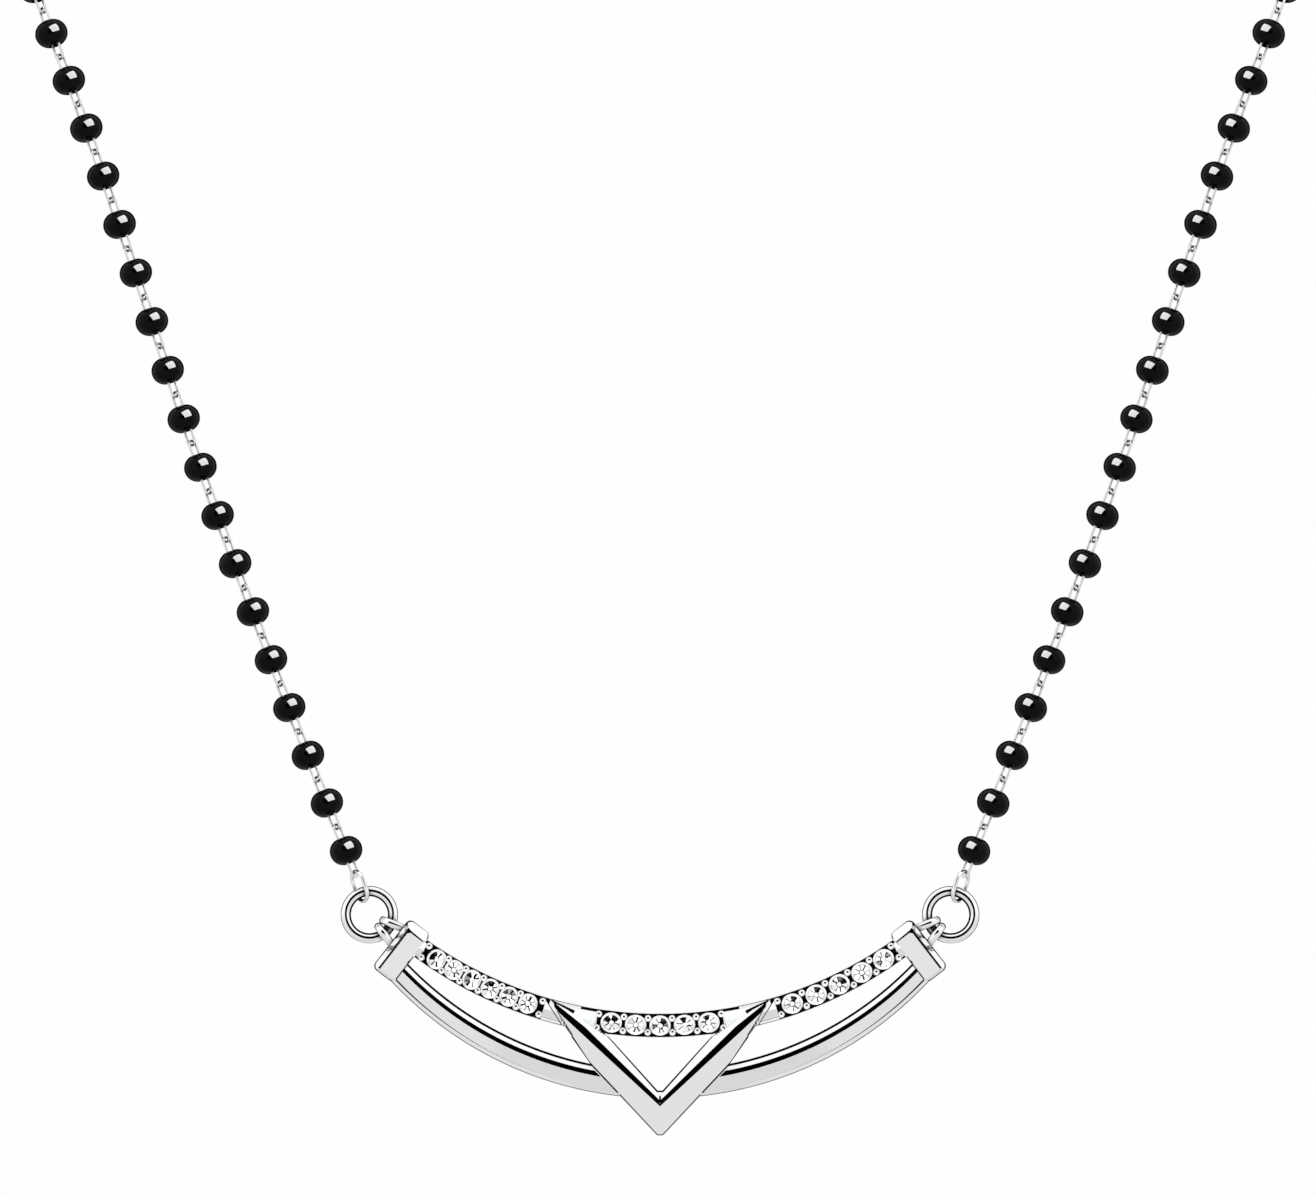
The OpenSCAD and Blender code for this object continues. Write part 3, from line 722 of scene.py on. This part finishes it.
# %% The cap's flats
# Each flat: a point on it, and how it rises outwards (+X, to the ring) and along the cap (+Y, up)
flats = [((0.41, 1.36, 1.29), (0.079, 0.069)), ((0.41, 1.36, 1.29), (-0.176, 0.069)),
         ((0.555, 1.36, 1.2645), (-1.28, 0.069)), ((0.41, 1.36, 1.29), (0.079, -0.2)),
         ((0.41, 1.5, 1.262), (0.12, -1.28)), ((0.33, 1.28, 1.279), (-0.12, -0.12)),
         ((-0.79, 0, 1.101), (1.1, 0.069)), ((0, -1.86, 1.02), (0.079, 0.9))]
for point, slopes in flats:
    cut(cap, point, sloping(*slopes))
ledge = cuboid("ledge", (-0.8, -0.95, 0), (0.25, 1.6, 1.72))
cap = joined("cap", [cap, ledge])
tidy(cap)
cap.matrix_world = Matrix.Translation((*CAP_AT, 0)) @ Matrix.Rotation(CAP_TURN, 4, "Z")
apply_place(cap)
smooth(cap, 9)
cap.name = "end_cap_right"
for one in (cap, mirrored(cap, "end_cap_left")):
    solder(one, silver)

# %% [markdown]
# ## Bails and jump rings
# A bail is two loops of round wire side by side, soldered to the cap and bent round the jump ring. Each is
# half a torus with its two ends drawn straight back by Extrude, and the ends close a little on the cap.

# %% Bails
RING_AT = (19.766, 7.528)
RING_R, RING_WIRE = 1.605, 0.36
BAIL_LEAN = 15.5


def wire_loop(name, loop_r, wire_r, leg, wide, closing=1):
    """Half a ring of wire round Y, open to +X, with straight legs that may close towards their ends."""
    section = [(loop_r + wire_r * math.cos(t), wide * math.sin(t))
               for t in np.linspace(0, math.tau, 20, endpoint=False)]
    # Drawn in the YZ plane, beside the origin, then swept round Y
    piece = outline(name, [Vector((0, y, z)) for z, y in section])
    edit(piece)
    bpy.ops.mesh.spin(steps=20, angle=math.pi, center=(0, 0, 0), axis=(0, 1, 0))
    leave()
    points = np.array([v.co for v in piece.data.vertices])
    if points[:, 0].mean() > 0:
        piece.scale.x = -1
        apply_place(piece)
    edit(piece)
    bpy.ops.mesh.select_all(action="DESELECT")
    bpy.ops.mesh.select_non_manifold()
    bpy.ops.mesh.extrude_region_move(TRANSFORM_OT_translate={"value": (leg, 0, 0)})
    bpy.ops.transform.resize(value=(1, 1, closing), center_override=(0, 0, 0))
    leave()
    tidy(piece)
    return piece


loops = []
for lean in (-BAIL_LEAN, BAIL_LEAN):
    loop = wire_loop("loop", loop_r=0.66, wire_r=0.2, leg=0.9, wide=0.27, closing=0.78)
    loop.matrix_world = (Matrix.Translation((*RING_AT, 0))
                         @ Matrix.Rotation(CAP_TURN + math.radians(lean), 4, "Z")
                         @ Matrix.Translation((-RING_R, 0, 0)) @ Matrix.Rotation(math.pi, 4, "Z"))
    apply_place(loop)
    loops.append(loop)
bail = joined("bail_right", loops)
smooth(bail, 50)
for one in (bail, mirrored(bail, "bail_left")):
    solder(one, shade_painted_silver)

# %% [markdown]
# A jump ring is a turn of thick wire whose cut ends meet: it is spun a hair short of a full turn, and the
# seam lies inside the bail, where a goldsmith hides it. The wire is worn flat by a hair in front and has a
# small step along its inner edge. Both look straight ahead and so draw dark lines round the ring.

# %% Jump rings
RING_FLAT = 0.3555
SEAM = 0.0015
upper = [t for t in np.linspace(0, math.pi, 33) if -0.64 < math.cos(t) < 0.87]
section = [(RING_WIRE * math.cos(t), min(RING_WIRE * math.sin(t), RING_FLAT)) for t in upper]
section = section + [(-0.235, 0.2), (-0.351, 0.2)]
section = [(0.348, 0)] + section + [(x, -z) for x, z in reversed(section)]
section = [(RING_R + x, z) for x, z in section]
seam_at = math.atan2(-math.cos(CAP_TURN), math.sin(CAP_TURN))
ring = spun("jump_ring_right", section, RING_AT, seam_at + SEAM, seam_at + math.tau - SEAM, steps=110)
smooth(ring, 25)
rings = [ring, mirrored(ring, "jump_ring_left")]
for one, node in zip(rings, ("ring_right", "ring_left")):
    hang(one)
    done(one, shade_painted_silver, "white_metal", node)

# %% [markdown]
# ## Links
# A link is a ring of wire drawn out long: a torus whose upper half is moved up and whose lower half is moved
# down, which leaves two straight legs between them. Its place, its way and its side are measured on the
# imported solid, so each new link lies exactly where the imported one does.

# %% A long link
def long_link(name, half_length, width, wire_r, around, across):
    """A link that stands on Z, flat in XZ: half_length from its middle to the wire's middle at its end."""
    bpy.ops.mesh.primitive_torus_add(major_segments=around, minor_segments=across, major_radius=width / 2,
                                     minor_radius=wire_r, rotation=(math.pi / 2, 0, 0))
    piece = bpy.context.object
    piece.name = name
    apply_place(piece)
    for corner in piece.data.vertices:
        if abs(corner.co.z) > 1e-4:
            corner.co.z += math.copysign(half_length - width / 2, corner.co.z)
    smooth(piece, 60)
    return piece


# %% How a packed link lies
def loose_parts(solid):
    """The corners of each loose part of a solid, in millimetres."""
    mesh = solid.data
    points = np.empty(3 * len(mesh.vertices))
    mesh.vertices.foreach_get("co", points)
    points = 1000 * points.reshape(-1, 3)
    corners = np.empty(len(mesh.loops), int)
    mesh.loops.foreach_get("vertex_index", corners)
    keys, same = np.unique(np.round(points, 3), axis=0, return_inverse=True)
    triangles = same.reshape(-1)[corners.reshape(-1, 3)]
    # Every corner takes the lowest number among its neighbours', until nothing changes
    group = np.arange(len(keys))
    while True:
        low = group[triangles].min(axis=1)
        new = group.copy()
        np.minimum.at(new, triangles.ravel(), np.repeat(low, 3))
        new = new[new]
        if (new == group).all():
            break
        group = new
    return [keys[group == g] for g in np.unique(group)]


def lie_of(points):
    """Middle of a link, with Z along its length and X across it."""
    middle = points.mean(axis=0)
    _, ways = np.linalg.eigh(np.cov((points - middle).T))
    long, wide = Vector(ways[:, 2]), Vector(ways[:, 1])
    turn = Matrix((wide, long.cross(wide), long)).transposed().to_4x4()
    return Matrix.Translation(Vector(middle)) @ turn


# %% End links
for side in ("right", "left"):
    node = "end_link_" + side
    lie = lie_of(loose_parts(nodes[node])[0])
    link = long_link("pendant_link_" + side, half_length=1.05, width=1.44, wire_r=0.13, around=64, across=20)
    link.matrix_world = Matrix.Scale(MM, 4) @ lie
    apply_place(link)
    done(link, shade_painted_silver, "white_metal", node)

# %% [markdown]
# ## Chains and beads
# The strings are a chain in which every long link carries one drilled bead. One link and one bead are made,
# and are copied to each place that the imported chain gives, each copy with its own mesh.

# %% Chain links
CHAIN_WIRE = 0.09
lies = {}
for side in ("right", "left"):
    node = "chain_" + side
    packed = loose_parts(nodes[node])
    lies[side] = [lie_of(points) for points in packed]
    level = lies[side][0].inverted()
    span = np.ptp(np.array([np.array(level @ Vector(p).to_4d())[:3] for p in packed[0]]), axis=0)
    model = long_link("link", span[2] / 2 - CHAIN_WIRE, span[0] - 2 * CHAIN_WIRE, CHAIN_WIRE,
                      around=32, across=10)
    chain = repeated("link_chain_" + side, model, [Matrix.Scale(MM, 4) @ lie for lie in lies[side]])
    done(chain, wire, "white_metal", node)
    print(len(packed), "links, each", np.round(span, 3), "mm")

# %% [markdown]
# A bead is turned from its profile: a round rim between two flats, and the bore. The beads are turned over by
# a random angle and are up to one part in a hundred smaller than full size, because pressed beads are never
# quite alike. The random numbers are seeded, so that each run gives the same necklace.

# %% Beads
BEAD_R, BEAD_CORE, BORE = 0.935, 0.205, 0.51
rng = np.random.default_rng(7)
top = math.acos((BORE - BEAD_CORE) / BEAD_R)
arc = [(BEAD_CORE + BEAD_R * math.cos(t), BEAD_R * math.sin(t)) for t in np.linspace(top, -top, 15)]
bead_section = arc + [(BORE - 0.015, -0.8), (BORE - 0.015, 0.8)]
for side in ("right", "left"):
    bead = spun("bead", bead_section, (0, 0), 0, math.tau, steps=26)
    smooth(bead, 40)
    places = []
    for lie in lies[side]:
        turned = Matrix.Rotation(rng.uniform(0, math.tau), 4, "Z")
        places.append(Matrix.Scale(MM, 4) @ lie @ turned @ Matrix.Scale(rng.uniform(0.99, 1), 4))
    string = repeated("bead_string_" + side, bead, places)
    done(string, glass, "black_glass", "beads_" + side)

# %% [markdown]
# ## The clasp
# The photograph doesn't show the clasp, so it is a plain turned barrel at the nape, with a wire eye at each
# end for the last links. The barrel is turned like on a lathe: half of its outline is spun round its own
# length. A fine groove stands on each side of the middle, as on a barrel that two fingers have to hold.

# %% Barrel
CLASP_Y = 52.5
profile = [(0, 2.6), (0.75, 2.6), (0.95, 2.56), (1.1, 2.45), (1.18, 2.3), (1.2, 2.1), (1.2, 0.5),
           (1.14, 0.44), (1.14, 0.36), (1.2, 0.3)]
profile = profile + [(r, -h) for r, h in reversed(profile)]
barrel = spun("barrel", profile, (0, 0), 0, math.tau, steps=48)
barrel.matrix_world = Matrix.Translation((0, CLASP_Y, 0)) @ Matrix.Rotation(math.pi / 2, 4, "Y")
apply_place(barrel)
report(barrel)

# %% [markdown]
# An eye stands across the last link of its chain, as any two links do. On the right that link is the one
# farthest back near the middle, and the left one mirrors it.

# %% Eyes
EYE_X = 3.14
last = max(lies["right"], key=lambda lie: lie.translation.y if lie.translation.x < 8 else -99)
last_side = last.to_3x3() @ Vector((1, 0, 0))
eyes = []
for turn in (1, -1):
    eye = wire_loop("eye", loop_r=0.36, wire_r=0.13, leg=0.75, wide=0.13)
    away = Vector((turn, 0, 0))
    wide = away.cross(Vector((turn * last_side.x, last_side.y, last_side.z))).normalized()
    turned = Matrix((-away, wide.cross(-away), wide)).transposed().to_4x4()
    eye.matrix_world = Matrix.Translation((turn * EYE_X, CLASP_Y, 0)) @ turned
    apply_place(eye)
    eyes.append(eye)
clasp = joined("barrel_clasp", [barrel] + eyes)
smooth(clasp, 35)
clasp.matrix_world = Matrix.Scale(MM, 4)
apply_place(clasp)
done(clasp, silver, "white_metal", "clasp")

# %% [markdown]
# ## Floor, light and camera
# The floor is a round of matt white paper, far below the pendant.

# %% Floor
bpy.ops.mesh.primitive_circle_add(vertices=96, radius=0.4, fill_type="NGON", location=(0, 0, -0.4))
floor = bpy.context.object
floor.name = "floor"
apply_place(floor)
paper, tree, shader, place = new_finish("matt_white_paper")
shader.inputs["Base Color"].default_value = linear("#ededec")
shader.inputs["Roughness"].default_value = 0.9
floor.data.materials.append(paper)

# %% [markdown]
# Polished silver shows little of itself: what the eye reads as its form is what it mirrors. So the piece
# hangs in a light tent, which is made as a world: its nodes read the way that a ray goes. The tent is bright
# above and a little darker below.

# %% Tent walls
SOFT = "SMOOTHSTEP"
world = bpy.data.worlds.new("light_tent")
bpy.context.scene.world = world
world.use_nodes = True
tree = world.node_tree
tree.nodes.clear()
path = add_node(tree, "ShaderNodeLightPath").outputs
way = add_node(tree, "ShaderNodeTexCoord").outputs["Generated"]
axes = add_node(tree, "ShaderNodeSeparateXYZ", links={"Vector": way}).outputs
sky = add_node(tree, "ShaderNodeMapRange",
               {"From Min": -0.3, "From Max": 0.15, "To Min": 0.8, "To Max": 1.06},
               {"Value": axes["Z"]}, interpolation_type=SOFT).outputs["Result"]

# %% [markdown]
# A dark oval card hangs in front, just above the lens. What looks nearly straight ahead mirrors it, and so
# the flat floor of the channel, the ridges and the ledges are black.

# %% Dark card above the lens
CARD_UP, CARD_HALF_W, CARD_HALF_H = 0.277, 0.47, 0.364
card = add_node(tree, "ShaderNodeMapping",
                {"Location": (0, 0, -CARD_UP / CARD_HALF_H), "Scale": (1 / CARD_HALF_W, 0, 1 / CARD_HALF_H)},
                {"Vector": way})
card = add_node(tree, "ShaderNodeVectorMath", links={0: card.outputs["Vector"]}, operation="LENGTH")
card = add_node(tree, "ShaderNodeMapRange", {"From Min": 0.94, "From Max": 1.06, "To Min": 1, "To Max": 0},
                {"Value": card.outputs["Value"]}, interpolation_type=SOFT).outputs["Result"]
front = add_node(tree, "ShaderNodeMath", {1: 0.0}, {0: axes["Y"]}, operation="LESS_THAN").outputs["Value"]
card = add_node(tree, "ShaderNodeMath", links={0: card, 1: front}, operation="MULTIPLY").outputs["Value"]

# %% [markdown]
# Dark flags stand behind on all sides. The steep walls mirror them, which draws a thin black line along each
# edge. Straight behind, between the flags, only a light grey is left, so that the pendant's back stands out
# from the white. The light that goes through the stones doesn't meet that grey.

# %% Dark flags behind
grey = add_node(tree, "ShaderNodeMath", {1: -0.3, 2: 0.3}, {0: path["Is Transmission Ray"]},
                operation="MULTIPLY_ADD").outputs["Value"]
near = add_node(tree, "ShaderNodeMapRange", {"From Min": 0.56, "From Max": 0.66}, {"Value": axes["Y"]},
                interpolation_type=SOFT).outputs["Result"]
far = add_node(tree, "ShaderNodeMapRange", {"From Min": 0.975, "From Max": 0.985, "To Min": 1},
               {"Value": axes["Y"], "To Max": grey}, interpolation_type=SOFT).outputs["Result"]
flags = add_node(tree, "ShaderNodeMath", links={0: near, 1: far}, operation="MULTIPLY").outputs["Value"]
depth = add_node(tree, "ShaderNodeMapRange",
                 {"From Min": -0.35, "From Max": 0.1, "To Min": 0.82, "To Max": 1},
                 {"Value": axes["Z"]}).outputs["Result"]
flags = add_node(tree, "ShaderNodeMath", links={0: flags, 1: depth}, operation="MULTIPLY").outputs["Value"]

# %% [markdown]
# The stones get almost half as much light again through their backs, as from a lamp behind an open setting.
# The camera itself sees the tent as plain white.

# %% The whole tent
dark = add_node(tree, "ShaderNodeMath", links={0: card, 1: flags}, operation="MAXIMUM").outputs["Value"]
light = add_node(tree, "ShaderNodeMath", {0: 1.0}, {1: dark}, operation="SUBTRACT").outputs["Value"]
tent = add_node(tree, "ShaderNodeMath", links={0: sky, 1: light}, operation="MULTIPLY").outputs["Value"]
through = add_node(tree, "ShaderNodeMath", {1: 0.45, 2: 1.0}, {0: path["Is Transmission Ray"]},
                   operation="MULTIPLY_ADD").outputs["Value"]
tent = add_node(tree, "ShaderNodeMath", links={0: tent, 1: through}, operation="MULTIPLY").outputs["Value"]
mixed = add_node(tree, "ShaderNodeMix", {"B": 0.99}, {"Factor": path["Is Camera Ray"], "A": tent})
out = add_node(tree, "ShaderNodeBackground", links={"Color": mixed.outputs["Result"]})
add_node(tree, "ShaderNodeOutputWorld", links={"Surface": out.outputs["Background"]})
print("light tent:", len(tree.nodes), "nodes")

# %% [markdown]
# Black glass would only show a faint grey tent. Two soft boxes, one for each string and lit on its beads
# alone, give every bead the bright window high on its inner side. A third box, low in front, lights only the
# stones, cups and grains.

# %% Soft boxes
def soft_box(name, place, turn, size, power, lit):
    """A rectangular lamp that lights only the given pieces and isn't seen itself."""
    bpy.ops.object.light_add(type="AREA", location=place)
    box = bpy.context.object
    box.name = name
    box.data.shape = "RECTANGLE"
    box.data.size, box.data.size_y = size
    box.data.energy = power
    box.rotation_euler = turn.to_euler()
    group = bpy.data.collections.new("lit_by_" + name)
    for piece in lit:
        group.objects.link(piece)
    box.light_linking.receiver_collection = group
    box.visible_camera = False
    box.visible_diffuse = False
    print(name, "at", [round(v, 3) for v in box.location])


for side, turn in (("left", 1), ("right", -1)):
    aim = Vector((-turn * 0.03, -0.04, -0.05))
    azimuth, height = math.radians(27) * turn, math.radians(42)
    way_out = Vector((math.sin(azimuth) * math.cos(height), -math.cos(azimuth) * math.cos(height),
                      math.sin(height)))
    soft_box("soft_box_" + side, aim + 0.9 * way_out,
             way_out.to_track_quat("Z", "Y") @ Quaternion((0, 0, 1), turn * 0.3), (0.97, 1.0), 330,
             [bpy.data.objects["bead_string_" + side]])
low_way = Vector((0, -math.cos(math.radians(50)), -math.sin(math.radians(50))))
soft_box("low_box_stones", PENDANT + 0.25 * low_way, low_way.to_track_quat("Z", "Y"), (0.42, 0.22), 0.2,
         [cut_stones, stone_cups, setting_grains])

# %% [markdown]
# The photograph was taken straight from the front and shows no perspective, so the camera stands 3 m away
# with a very long lens.

# %% Camera
# In millimetres: the sensor, the way to the pendant, and what the frame takes in there
SENSOR_W, DISTANCE, FRAME_W = 36, 3000, 89.5
bpy.ops.object.camera_add(location=(-0.00014, -3.045, -0.0749), rotation=(math.pi / 2, 0, 0))
camera = bpy.context.object
camera.data.lens = SENSOR_W * DISTANCE / FRAME_W
camera.data.clip_end = 20
bpy.context.scene.camera = camera
bpy.context.scene.view_settings.view_transform = "Standard"
print("lens:", round(camera.data.lens), "mm")
